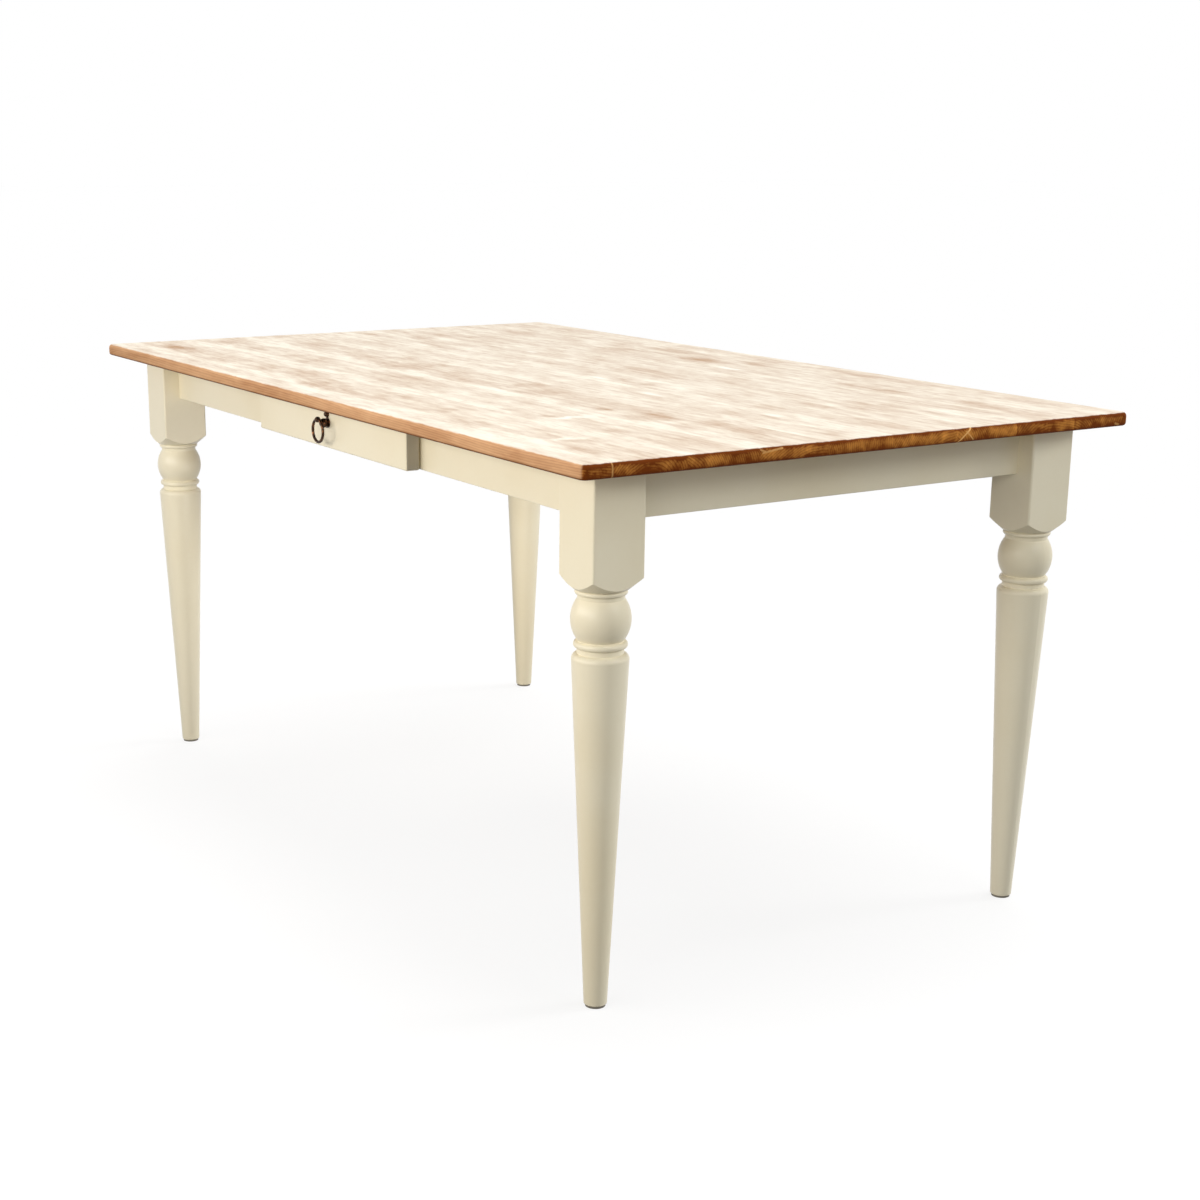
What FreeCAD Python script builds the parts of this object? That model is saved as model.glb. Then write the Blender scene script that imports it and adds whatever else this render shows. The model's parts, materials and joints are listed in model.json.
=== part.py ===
import FreeCAD, Part
import math
import os
import Sketcher
from types import SimpleNamespace

# A dining table: a board top, a painted base on four turned legs, and one drawer with a ring pull.
# +Z is up, +X runs along the table, and the drawer faces -Y. The origin is on the floor, under the middle.

# Driving sizes, in millimetres.
SIZES = {
    # Top
    "top_length": 1600,
    "top_width": 950,
    "table_height": 760,
    "top_thickness": 20,
    "top_upper_round": 6.5,
    "top_lower_round": 5,
    "top_corner_round": 11,
    "edge_strip_width": 43,
    # Legs, from the square block down to the foot
    "leg_block": 80,
    "leg_overhang": 54,
    "block_ease": 3,
    "block_length": 142,
    "pommel_length": 17,
    "pommel_inset": 3.5,
    "neck_inset": 9,
    "upper_ring_rise": 3.7,
    "upper_ring_height": 8,
    "upper_neck_length": 5,
    "ball_rise": 8.8,
    "ball_height": 54.5,
    "lower_neck_length": 1.5,
    "lower_ring_rise": 4.7,
    "lower_ring_height": 9.5,
    "groove_length": 7,
    "shoulder_rise": 7,
    "shoulder_height": 8,
    "foot_radius": 16,
    "foot_ease": 1.5,
    "leg_flat": 16,
    # Foot glides
    "glide_height": 3,
    "glide_radius": 14,
    "glide_pin_radius": 1.6,
    "glide_pin_length": 14,
    # Aprons
    "apron_height": 72,
    "apron_thickness": 22,
    "apron_setback": 30,
    "apron_ease": 1.5,
    # Corner blocks and the bolts that pull the legs in
    "corner_gap": 1.5,
    "corner_thickness": 22,
    "corner_inset": 8,
    "corner_tongue_inset": 6,
    "corner_tongue_width": 8,
    "corner_tongue_depth": 6,
    "bolt_radius": 4,
    "bolt_depth": 38,
    "bolt_inset": 11,
    "bolt_stub": 4,
    "washer_radius": 8,
    "washer_thickness": 1.6,
    "nut_radius": 7.5,
    "nut_height": 6.5,
    # Buttons that hold the top
    "button_width": 40,
    "button_depth": 32,
    "button_gap": 1,
    "button_lip": 12,
    "button_tongue": 7,
    "button_groove": 8,
    "button_from_runner": 83,
    "button_from_leg": 106,
    "end_button_from_leg": 171,
    # Countersunk screws
    "screw_radius": 2,
    "screw_head_radius": 4,
    "screw_head_height": 2.4,
    "screw_tip": 4,
    "top_screw_cover": 12,
    "front_screw_cover": 6,
    # Drawer opening, runners and kickers
    "opening_width": 466,
    "lower_rail": 12,
    "upper_rail": 10,
    "rail_tenon": 8,
    "rail_tenon_thickness": 8,
    "rail_shoulder": 2,
    "runner_ledge": 20,
    "runner_guide": 14,
    "runner_guide_height": 30,
    "runner_tenon": 6,
    "runner_shoulder": 4,
    "kicker_width": 30,
    "kicker_screw_y": 150,
    "stop_length": 20,
    "stop_height": 18,
    # Drawer
    "drawer_front_lap": 19,
    "drawer_front_thickness": 23,
    "drawer_front_gap": 3,
    "drawer_top_gap": 2.5,
    "drawer_front_ease": 3,
    "drawer_depth": 420,
    "drawer_headroom": 3.7,
    "drawer_side_gap": 2,
    "drawer_wall": 12,
    "drawer_bottom": 5,
    "drawer_bottom_rise": 7,
    "drawer_groove": 6,
    "drawer_tongue": 6,
    "front_screw_inset": 49,
    # Ring pull
    "post_drop": 32,
    "plate_thickness": 2,
    "plate_radius": 8,
    "finial_radius": 4.4,
    "finial_gap": 1,
    "plate_neck": 2.5,
    "post_radius": 2,
    "boss_radius": 7.2,
    "boss_reach": 7.2,
    "stem_radius": 2.6,
    "eye_reach": 17.5,
    "eye_rise": 6,
    "eye_radius": 4.6,
    "eye_slack": 0.7,
    "pull_washer_radius": 5,
    "pull_washer_thickness": 1,
    "pull_nut_radius": 4,
    "pull_nut_height": 3.2,
    "post_stub": 2,
    "ring_radius": 17.5,
    "ring_wire": 2.2,
    # Fits
    "fit": 0.1,
    "running_gap": 0.3,
    "overrun": 5,
}

# Equal boards beside the narrow edge strip.
BOARD_COUNT = 8
# A step of one along the diagonal of a corner is this share of it along X and along Y.
DIAGONAL_SHARE = math.sqrt(0.5)
# An edge runs along a direction when at least this share of it does.
ALONG_SHARE = 0.999

doc = FreeCAD.newDocument("dining_table")
sheet = doc.addObject("Spreadsheet::Sheet", "Sizes")
for row, (name, number) in enumerate(SIZES.items(), start=1):
    sheet.set(f"A{row}", name)
    sheet.set(f"B{row}", str(number))
    sheet.setAlias(f"B{row}", name)
doc.recompute()


class Size:
    """A cell of the sheet, or a sum of such cells: its expression and its value."""

    def __init__(self, text, value):
        self.text = text
        self.value = value

    def join(self, sign, other, value):
        return Size(f"({self.text} {sign} {other.text})", value)

    def __add__(self, other):
        return self.join("+", other, self.value + other.value)

    def __sub__(self, other):
        return self.join("-", other, self.value - other.value)

    def __mul__(self, other):
        factor = other if isinstance(other, Size) else Size(repr(other), other)
        return self.join("*", factor, self.value * factor.value)

    def __truediv__(self, other):
        divisor = other if isinstance(other, Size) else Size(repr(other), other)
        return self.join("/", divisor, self.value / divisor.value)

    def __neg__(self):
        return Size(f"(-{self.text})", -self.value)


def root(size):
    return Size(f"sqrt({size.text})", math.sqrt(size.value))


ZERO = Size("0", 0)
s = SimpleNamespace(**{name: Size(f"Sizes.{name}", number) for name, number in SIZES.items()})

# Places that several pieces share.
underside = s.table_height - s.top_thickness
apron_low = underside - s.apron_height
block_half = s.leg_block / 2
leg_x = s.top_length / 2 - s.leg_overhang - block_half
leg_y = s.top_width / 2 - s.leg_overhang - block_half
leg_inner_x = leg_x - block_half
leg_inner_y = leg_y - block_half
apron_outer_x = leg_x + block_half - s.apron_setback
apron_outer_y = leg_y + block_half - s.apron_setback
apron_inner_x = apron_outer_x - s.apron_thickness
apron_inner_y = apron_outer_y - s.apron_thickness
opening_half = s.opening_width / 2
runner_outer = opening_half + s.runner_guide
opening_low = apron_low + s.lower_rail
opening_high = underside - s.upper_rail
front_back_y = -apron_outer_y - s.drawer_front_gap
front_face_y = front_back_y - s.drawer_front_thickness
box_low = opening_low + s.running_gap
box_high = opening_high - s.drawer_headroom
box_half = opening_half - s.drawer_side_gap
box_inner = box_half - s.drawer_wall
box_front_y = front_back_y + s.drawer_wall
box_rear_y = front_back_y + s.drawer_depth
post_z = underside - s.post_drop

X, Y, Z = FreeCAD.Vector(1, 0, 0), FreeCAD.Vector(0, 1, 0), FreeCAD.Vector(0, 0, 1)
# The four corners: name, sign of x, sign of y, and the turn that points a corner's inside at the middle.
CORNERS = [
    ("back_right", 1, 1, 0),
    ("back_left", -1, 1, 90),
    ("front_left", -1, -1, 180),
    ("front_right", 1, -1, 270),
]
nodes = []


# Helpers for the document's objects

def node(thing, label):
    thing.Label = label
    nodes.append(thing)
    return thing


def place(thing, x, y, z, rotation=FreeCAD.Rotation()):
    thing.Placement = FreeCAD.Placement(FreeCAD.Vector(), rotation)
    for axis, amount in zip("xyz", (x, y, z)):
        thing.setExpression(f"Placement.Base.{axis}", amount.text)
    return thing


def pointing(direction):
    return FreeCAD.Rotation(Z, direction)


def box(name, x, y, z):
    """A block between two planes along each axis."""
    thing = doc.addObject("Part::Box", name)
    for prop, (low, high) in zip(("Length", "Width", "Height"), (x, y, z)):
        thing.setExpression(prop, (high - low).text)
    return place(thing, x[0], y[0], z[0])


def cylinder(name, radius, length, x, y, z, direction):
    thing = doc.addObject("Part::Cylinder", name)
    thing.setExpression("Radius", radius.text)
    thing.setExpression("Height", length.text)
    return place(thing, x, y, z, pointing(direction))


def group(name, things):
    thing = doc.addObject("Part::Compound", name)
    thing.Links = things
    return thing


def cut(name, base, tools):
    thing = doc.addObject("Part::Cut", name)
    thing.Base = base
    thing.Tool = tools[0] if len(tools) == 1 else group(f"{name}_cuts", tools)
    return thing


def fuse(name, things):
    thing = doc.addObject("Part::MultiFuse", name)
    thing.Shapes = things
    thing.Refine = True
    return thing


def copy(name, thing, x, y, z, rotation=FreeCAD.Rotation()):
    link = doc.addObject("App::Link", name)
    link.LinkedObject = thing
    return place(link, x, y, z, rotation)


def copies_at_corners(name, thing):
    """One copy of a corner's piece, made about the leg's axis, at each of the four corners."""
    links = []
    for corner, side_x, side_y, turn in CORNERS:
        rotation = FreeCAD.Rotation(Z, turn)
        links.append(copy(f"{name}_{corner}", thing, leg_x * side_x, leg_y * side_y, ZERO, rotation))
    return group(name, links)


def outline(body, name, plane, steps):
    """A closed sketch. Each step is a corner (x, y), or (x, y, arc) where an arc leaves that corner.

    An arc is (radius, centre x, centre y) and turns anticlockwise.
    """
    sketch = body.newObject("Sketcher::SketchObject", name)
    support = next(part for part in body.Origin.OriginFeatures if part.Role == plane)
    sketch.AttachmentSupport = (support, [""])
    sketch.MapMode = "FlatFace"
    starts, ends = [], []
    for index, step in enumerate(steps):
        here = FreeCAD.Vector(step[0].value, step[1].value, 0)
        after = steps[(index + 1) % len(steps)]
        there = FreeCAD.Vector(after[0].value, after[1].value, 0)
        if len(step) == 2:
            edge = sketch.addGeometry(Part.LineSegment(here, there))
            starts.append((edge, 1))
            ends.append((edge, 2))
            continue
        radius, centre_x, centre_y = step[2]
        centre = FreeCAD.Vector(centre_x.value, centre_y.value, 0)
        angle = math.atan2(here.y - centre.y, here.x - centre.x)
        sweep = (math.atan2(there.y - centre.y, there.x - centre.x) - angle) % (2 * math.pi)
        circle = Part.Circle(centre, Z, radius.value)
        edge = sketch.addGeometry(Part.ArcOfCircle(circle, angle, angle + sweep))
        starts.append((edge, 1))
        ends.append((edge, 2))
        sized = sketch.addConstraint(Sketcher.Constraint("Radius", edge, radius.value))
        sketch.setExpression(f"Constraints[{sized}]", radius.text)
    for index, step in enumerate(steps):
        sketch.addConstraint(Sketcher.Constraint("Coincident", *ends[index - 1], *starts[index]))
        for kind, axis, amount in (("DistanceX", -2, step[0]), ("DistanceY", -1, step[1])):
            if amount is ZERO:
                sketch.addConstraint(Sketcher.Constraint("PointOnObject", *starts[index], axis))
                continue
            sized = sketch.addConstraint(Sketcher.Constraint(kind, -1, 1, *starts[index], amount.value))
            sketch.setExpression(f"Constraints[{sized}]", amount.text)
    return sketch


def rectangle(body, name, plane, across, up):
    low, high = across
    return outline(body, name, plane, [(low, up[0]), (high, up[0]), (high, up[1]), (low, up[1])])


def pad(body, sketch, length, middle=False):
    feature = body.newObject("PartDesign::Pad", f"{sketch.Name}_pad")
    feature.Profile = sketch
    feature.setExpression("Length", length.text)
    if middle:
        feature.SideType = "Symmetric"
    return feature


def turned(body, sketch, kind="Revolution"):
    feature = body.newObject(f"PartDesign::{kind}", f"{sketch.Name}_{kind.lower()}")
    feature.Profile = sketch
    feature.ReferenceAxis = (sketch, ["V_Axis"])
    feature.Angle = 360
    return feature


def round_edges(body, name, radius, wanted):
    """Round the edges of the body's last feature that the test wants."""
    doc.recompute()
    base = body.Tip
    edges = [f"Edge{index}" for index, edge in enumerate(base.Shape.Edges, start=1) if wanted(edge)]
    feature = body.newObject("PartDesign::Fillet", name)
    feature.Base = (base, edges)
    feature.setExpression("Radius", radius.text)
    return feature


def runs_along(direction):
    return lambda edge: abs(edge.tangentAt(edge.FirstParameter).dot(direction)) > ALONG_SHARE


def eased_board(name, x, y, z, ease, wanted):
    """A board with rounded arrises, between two planes along each axis."""
    body = doc.addObject("PartDesign::Body", name)
    sketch = rectangle(body, f"{name}_outline", "XY_Plane", (ZERO, x[1] - x[0]), (ZERO, y[1] - y[0]))
    pad(body, sketch, z[1] - z[0])
    round_edges(body, f"{name}_ease", ease, wanted)
    return place(body, x[0], y[0], z[0])


def bulge(neck, rise, low, height):
    """The arc of a turned bead that rises from the neck to its widest point halfway up its height."""
    half = height / 2
    radius = (half * half + rise * rise) / (rise * 2)
    return (radius, neck + rise - radius, low + half)


# Screws

def screw_form(name, length, slack):
    """A countersunk screw along +Z from the top of its head, wider all round by the slack."""
    body = doc.addObject("PartDesign::Body", name)
    shank = s.screw_radius + slack
    reach = length + slack
    turned(body, outline(body, f"{name}_profile", "XZ_Plane", [
        (ZERO, ZERO),
        (s.screw_head_radius + slack, ZERO),
        (shank, s.screw_head_height),
        (shank, reach - s.screw_tip),
        (ZERO, reach),
    ]))
    return body


def screws(label, length, spots, direction):
    """A node of screws at the spots. Returns the holes that they need, and one such hole by itself."""
    rotation = pointing(direction)

    def at_spots(name, form):
        links = [copy(f"{name}_{index}", form, *spot, rotation) for index, spot in enumerate(spots)]
        return group(name, links)

    node(at_spots(label, screw_form(f"{label}_form", length, ZERO)), label)
    hole = screw_form(f"{label}_hole_form", length, s.fit)
    return at_spots(f"{label}_holes", hole), hole


# Each button starts at a place on the inner face of its apron, turned to point inwards.
groove_high = underside - s.button_lip
groove_low = groove_high - s.button_groove
button_low = groove_low + s.running_gap
button_middle = s.button_depth / 2
near_x = runner_outer + s.button_from_runner
far_x = leg_inner_x - s.button_from_leg
end_y = leg_inner_y - s.end_button_from_leg
button_places = []
button_spots = []
for side, long_turn, end_turn in ((-1, 0, 270), (1, 180, 90)):
    for x in (-far_x, -near_x, near_x, far_x):
        button_places.append((x, apron_inner_y * side, long_turn))
        button_spots.append((x, (apron_inner_y - button_middle) * side, button_low))
    for y in (-end_y, end_y):
        button_places.append((apron_inner_x * side, y, end_turn))
        button_spots.append(((apron_inner_x - button_middle) * side, y, button_low))
screw_high = s.table_height - s.top_screw_cover
button_screw_holes, button_screw_hole = screws("button_screws", screw_high - button_low, button_spots, Z)

kicker_low = underside - s.upper_rail
kicker_middle = runner_outer - s.kicker_width / 2
kicker_spots = [(kicker_middle * side_x, s.kicker_screw_y * side_y, kicker_low)
                for side_x in (-1, 1) for side_y in (-1, 1)]
kicker_screw_holes, _ = screws("kicker_screws", screw_high - kicker_low, kicker_spots, Z)

front_screw_z = (box_low + box_high) / 2
front_screw_x = box_inner - s.front_screw_inset
front_screw_length = box_front_y - front_face_y - s.front_screw_cover
front_spots = [(x, box_front_y, front_screw_z)
               for x in (-front_screw_x, -front_screw_x / 2, front_screw_x / 2, front_screw_x)]
front_screw_holes, _ = screws("drawer_front_screws", front_screw_length, front_spots, -Y)


# Top: one blank with rounded edges, sawn into a strip and boards that lie edge to edge

def make_top():
    half_length = s.top_length / 2
    half_width = s.top_width / 2
    blank = doc.addObject("PartDesign::Body", "top_blank")
    length, width = (-half_length, half_length), (-half_width, half_width)
    pad(blank, rectangle(blank, "top_outline", "XY_Plane", length, width), s.top_thickness)
    middle = s.top_thickness.value / 2
    round_edges(blank, "top_corners", s.top_corner_round, runs_along(Z))
    round_edges(blank, "top_upper_edge", s.top_upper_round, lambda edge: edge.BoundBox.ZMin > middle)
    round_edges(blank, "top_lower_edge", s.top_lower_round, lambda edge: edge.BoundBox.ZMax < middle)
    place(blank, ZERO, ZERO, underside)
    drilled = cut("top_drilled", blank, [button_screw_holes, kicker_screw_holes])
    board_width = (s.top_width - s.edge_strip_width) / BOARD_COUNT
    low = -half_width
    for index in range(BOARD_COUNT + 1):
        width = board_width if index else s.edge_strip_width
        label = f"top_board_{index}" if index else "top_edge_strip"
        high = low + width
        slice_box = box(f"{label}_slice", (-half_length - s.overrun, half_length + s.overrun), (low, high),
                        (underside - s.overrun, s.table_height + s.overrun))
        board = doc.addObject("Part::Common", f"{label}_board")
        board.Base = drilled
        board.Tool = slice_box
        node(board, label)
        low = high


# Corner hardware, made about a leg's axis with the middle of the table towards -X and -Y

apron_reach = s.apron_setback + s.apron_thickness - block_half
flat_sum = s.leg_block - s.leg_flat
corner_near = flat_sum + s.corner_gap / DIAGONAL_SHARE
corner_far = corner_near + s.corner_thickness / DIAGONAL_SHARE
corner_high = underside - s.corner_inset
corner_low = apron_low + s.corner_inset
tongue_near = corner_near - apron_reach + s.corner_tongue_inset
tongue_far = tongue_near + s.corner_tongue_width
bolt_start = flat_sum * DIAGONAL_SHARE - s.bolt_depth
seat = corner_far * DIAGONAL_SHARE
bolt_end = seat + s.washer_thickness + s.nut_height + s.bolt_stub
bolt_heights = [corner_low + s.bolt_inset, corner_high - s.bolt_inset]
INWARDS = FreeCAD.Vector(-1, -1, 0)


def on_diagonal(name, radius, start, end, height):
    step = start * -DIAGONAL_SHARE
    return cylinder(name, radius, end - start, step, step, height, INWARDS)


def ring_on_diagonal(name, outer, start, end, height):
    """A washer's or nut's blank with the bolt's hole in it."""
    hole = on_diagonal(f"{name}_hole", s.bolt_radius + s.fit / 2, start - s.overrun, end + s.overrun, height)
    return cut(name, outer, [hole])


def make_bolts():
    bolts, washers, nuts = [], [], []
    washer_end = seat + s.washer_thickness
    nut_end = washer_end + s.nut_height
    for index, height in enumerate(bolt_heights):
        bolts.append(on_diagonal(f"bolt_{index}", s.bolt_radius, bolt_start, bolt_end, height))
        disc = on_diagonal(f"washer_disc_{index}", s.washer_radius, seat, washer_end, height)
        washers.append(ring_on_diagonal(f"washer_{index}", disc, seat, washer_end, height))
        hexagon = doc.addObject("Part::Prism", f"nut_hexagon_{index}")
        hexagon.Polygon = 6
        hexagon.setExpression("Circumradius", s.nut_radius.text)
        hexagon.setExpression("Height", s.nut_height.text)
        step = washer_end * -DIAGONAL_SHARE
        place(hexagon, step, step, height, pointing(INWARDS))
        nuts.append(ring_on_diagonal(f"nut_{index}", hexagon, washer_end, nut_end, height))
    for label, pieces in (("hanger_bolts", bolts), ("bolt_washers", washers), ("bolt_nuts", nuts)):
        node(copies_at_corners(label, group(f"{label}_of_one_corner", pieces)), label)


def make_corner_block(corner, x, y, turn):
    """A diagonal block whose tongues sit in grooves in the two aprons."""
    name = f"corner_block_{corner}"
    body = doc.addObject("PartDesign::Body", f"{name}_body")
    face = -apron_reach
    tip = face + s.corner_tongue_depth
    along_x = [
        (-(corner_near - apron_reach), face),
        (-tongue_near, face),
        (-tongue_near, tip),
        (-tongue_far, tip),
        (-tongue_far, face),
        (-(corner_far - apron_reach), face),
    ]
    along_y = [(other, one) for one, other in reversed(along_x)]
    pad(body, outline(body, f"{name}_outline", "XY_Plane", along_x + along_y), corner_high - corner_low)
    place(body, ZERO, ZERO, corner_low)
    holes = [on_diagonal(f"{name}_hole_{index}", s.bolt_radius + s.running_gap, bolt_start, bolt_end, height)
             for index, height in enumerate(bolt_heights)]
    drilled = cut(f"{name}_drilled", body, holes)
    place(drilled, x, y, ZERO, FreeCAD.Rotation(Z, turn))
    node(drilled, name)


# Legs, turned about their own axis below a square block

def make_leg(corner, x, y, turn):
    name = f"leg_{corner}"
    body = doc.addObject("PartDesign::Body", f"{name}_body")
    block_corner = s.leg_block * DIAGONAL_SHARE
    pommel_high = underside - s.block_length
    pommel_low = pommel_high - s.pommel_length
    upper_ring_low = pommel_low - s.upper_ring_height
    ball_low = upper_ring_low - s.upper_neck_length - s.ball_height
    lower_ring_low = ball_low - s.lower_neck_length - s.lower_ring_height
    shoulder_high = lower_ring_low - s.groove_length
    shaft_high = shoulder_high - s.shoulder_height
    height, rise = s.shoulder_height, s.shoulder_rise
    shoulder = (height * height + rise * rise) / (rise * 2)
    neck = block_half - s.neck_inset
    shaft = neck + rise

    block = rectangle(body, f"{name}_block", "XZ_Plane", (-block_half, block_half), (pommel_low, underside))
    pad(body, block, s.leg_block, middle=True)
    round_edges(body, f"{name}_block_ease", s.block_ease, runs_along(Z))
    turned(body, outline(body, f"{name}_pommel", "XZ_Plane", [
        (block_half - s.pommel_inset, pommel_low),
        (block_corner + s.overrun, pommel_low),
        (block_corner + s.overrun, pommel_high),
        (block_corner, pommel_high),
    ]), "Groove")
    turned(body, outline(body, f"{name}_turning", "XZ_Plane", [
        (ZERO, s.glide_height),
        (s.foot_radius - s.foot_ease, s.glide_height),
        (s.foot_radius, s.glide_height + s.foot_ease),
        (shaft, shaft_high, (shoulder, shaft - shoulder, shaft_high)),
        (neck, shoulder_high),
        (neck, lower_ring_low, bulge(neck, s.lower_ring_rise, lower_ring_low, s.lower_ring_height)),
        (neck, lower_ring_low + s.lower_ring_height),
        (neck, ball_low, bulge(neck, s.ball_rise, ball_low, s.ball_height)),
        (neck, ball_low + s.ball_height),
        (neck, upper_ring_low, bulge(neck, s.upper_ring_rise, upper_ring_low, s.upper_ring_height)),
        (neck, pommel_low),
        (ZERO, pommel_low + s.overrun),
    ]))
    flat = outline(body, f"{name}_flat", "XY_Plane", [
        (-block_half - s.overrun, -block_half - s.overrun),
        (-block_half + s.leg_flat + s.overrun, -block_half - s.overrun),
        (-block_half - s.overrun, -block_half + s.leg_flat + s.overrun),
    ])
    flat.setExpression("AttachmentOffset.Base.z", underside.text)
    pocket = body.newObject("PartDesign::Pocket", f"{name}_flat_pocket")
    pocket.Profile = flat
    pocket.setExpression("Length", s.apron_height.text)

    holes = [on_diagonal(f"{name}_hole_{index}", s.bolt_radius + s.fit, bolt_start - s.fit, bolt_end, height)
             for index, height in enumerate(bolt_heights)]
    holes.append(cylinder(f"{name}_glide_hole", s.glide_pin_radius + s.fit, s.glide_pin_length + s.fit,
                          ZERO, ZERO, s.glide_height, Z))
    drilled = cut(f"{name}_drilled", body, holes)
    place(drilled, x, y, ZERO, FreeCAD.Rotation(Z, turn))
    node(drilled, name)


def make_glides():
    body = doc.addObject("PartDesign::Body", "glide")
    turned(body, outline(body, "glide_profile", "XZ_Plane", [
        (ZERO, ZERO),
        (s.glide_radius, ZERO),
        (s.glide_radius, s.glide_height),
        (s.glide_pin_radius, s.glide_height),
        (s.glide_pin_radius, s.glide_height + s.glide_pin_length),
        (ZERO, s.glide_height + s.glide_pin_length),
    ]))
    node(copies_at_corners("foot_glides", body), "foot_glides")


# Aprons, with a groove for the buttons, grooves for the corner blocks and mortises for the runners

guide_high = opening_low + s.runner_guide_height


def between(side, near, far):
    """The span from near to far on one side of the middle, lowest first."""
    return (near, far) if side > 0 else (-far, -near)


def groove_room(side, face):
    """How far the buttons' groove goes into an apron from the plane of its inner face."""
    return between(side, face - s.overrun, face + s.button_tongue + s.button_gap)


def long_apron_cuts(name, side_y, span):
    return [box(f"{name}_groove", span, groove_room(side_y, apron_inner_y), (groove_low, groove_high))]


def long_apron_end_cuts(name, side_x, side_y):
    tongue = between(side_x, leg_x - tongue_far - s.fit, leg_x - tongue_near + s.fit)
    tongue_room = between(side_y, apron_inner_y - s.overrun, apron_inner_y + s.corner_tongue_depth + s.fit)
    shoulder = s.runner_shoulder - s.fit
    tenon = between(side_x, opening_half + shoulder, runner_outer - shoulder)
    tenon_room = between(side_y, apron_inner_y - s.overrun, apron_inner_y + s.runner_tenon + s.fit)
    return [
        box(f"{name}_corner_groove", tongue, tongue_room, (corner_low - s.fit, corner_high + s.fit)),
        box(f"{name}_runner_mortise", tenon, tenon_room, (apron_low + shoulder, guide_high - shoulder)),
    ]


def make_front_apron():
    """Two lengths beside the drawer opening, and a rail above and below it."""
    rails = [("drawer_rail_lower", apron_low, opening_low), ("drawer_rail_upper", opening_high, underside)]
    thickness = (-apron_outer_y, -apron_inner_y)
    middle = (thickness[0] + thickness[1]) / 2
    tenon_half = s.rail_tenon_thickness / 2
    for label, low, high in rails:
        board = eased_board(f"{label}_board", (-opening_half, opening_half), thickness, (low, high),
                            s.apron_ease / 2, runs_along(X))
        tenon = box(f"{label}_tenons", (-opening_half - s.rail_tenon, opening_half + s.rail_tenon),
                    (middle - tenon_half, middle + tenon_half),
                    (low + s.rail_shoulder, high - s.rail_shoulder))
        node(fuse(f"{label}_piece", [board, tenon]), label)
    for side, name in ((-1, "left"), (1, "right")):
        label = f"front_apron_{name}"
        board = eased_board(f"{label}_board", between(side, opening_half, leg_inner_x), thickness,
                            (apron_low, underside), s.apron_ease, runs_along(X))
        cuts = long_apron_cuts(label, -1, between(side, runner_outer, leg_inner_x + s.overrun))
        cuts += long_apron_end_cuts(label, side, -1)
        for rail, low, high in rails:
            cuts.append(box(f"{label}_{rail}_mortise",
                            between(side, opening_half - s.overrun, opening_half + s.rail_tenon + s.fit),
                            (middle - tenon_half - s.fit, middle + tenon_half + s.fit),
                            (low + s.rail_shoulder - s.fit, high - s.rail_shoulder + s.fit)))
        node(cut(f"{label}_piece", board, cuts), label)


def make_back_apron():
    board = eased_board("back_apron_board", (-leg_inner_x, leg_inner_x), (apron_inner_y, apron_outer_y),
                        (apron_low, underside), s.apron_ease, runs_along(X))
    reach = leg_inner_x + s.overrun
    cuts = long_apron_cuts("back_apron", 1, (-reach, reach))
    for side in (-1, 1):
        cuts += long_apron_end_cuts(f"back_apron_{side + 1}", side, 1)
    node(cut("back_apron_piece", board, cuts), "back_apron")


def make_end_aprons():
    reach = leg_inner_y + s.overrun
    for side, name in ((-1, "left"), (1, "right")):
        label = f"end_apron_{name}"
        board = eased_board(f"{label}_board", between(side, apron_inner_x, apron_outer_x),
                            (-leg_inner_y, leg_inner_y), (apron_low, underside), s.apron_ease, runs_along(Y))
        groove = groove_room(side, apron_inner_x)
        cuts = [box(f"{label}_groove", groove, (-reach, reach), (groove_low, groove_high))]
        tongue_room = between(side, apron_inner_x - s.overrun, apron_inner_x + s.corner_tongue_depth + s.fit)
        for side_y in (-1, 1):
            tongue = between(side_y, leg_y - tongue_far - s.fit, leg_y - tongue_near + s.fit)
            cuts.append(box(f"{label}_corner_groove_{side_y + 1}", tongue_room, tongue,
                            (corner_low - s.fit, corner_high + s.fit)))
        node(cut(f"{label}_piece", board, cuts), label)


# Buttons: each reaches from its apron's groove to a screw in the top

def make_buttons():
    half = s.button_width / 2
    body = box("button_block", (-half, half), (s.button_gap, s.button_depth), (button_low, underside))
    tongue = box("button_tongue_block", (-half, half), (-s.button_tongue, button_middle),
                 (button_low, groove_high))
    blank = fuse("button_blank", [body, tongue])
    hole = copy("button_screw_hole", button_screw_hole, ZERO, button_middle, button_low)
    button = cut("button", blank, [hole])
    links = []
    for index, (x, y, turn) in enumerate(button_places):
        links.append(copy(f"top_button_{index}", button, x, y, ZERO, FreeCAD.Rotation(Z, turn)))
    node(group("top_buttons", links), "top_buttons")


# Runners under the drawer's sides, kickers above them and stops behind them

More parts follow.
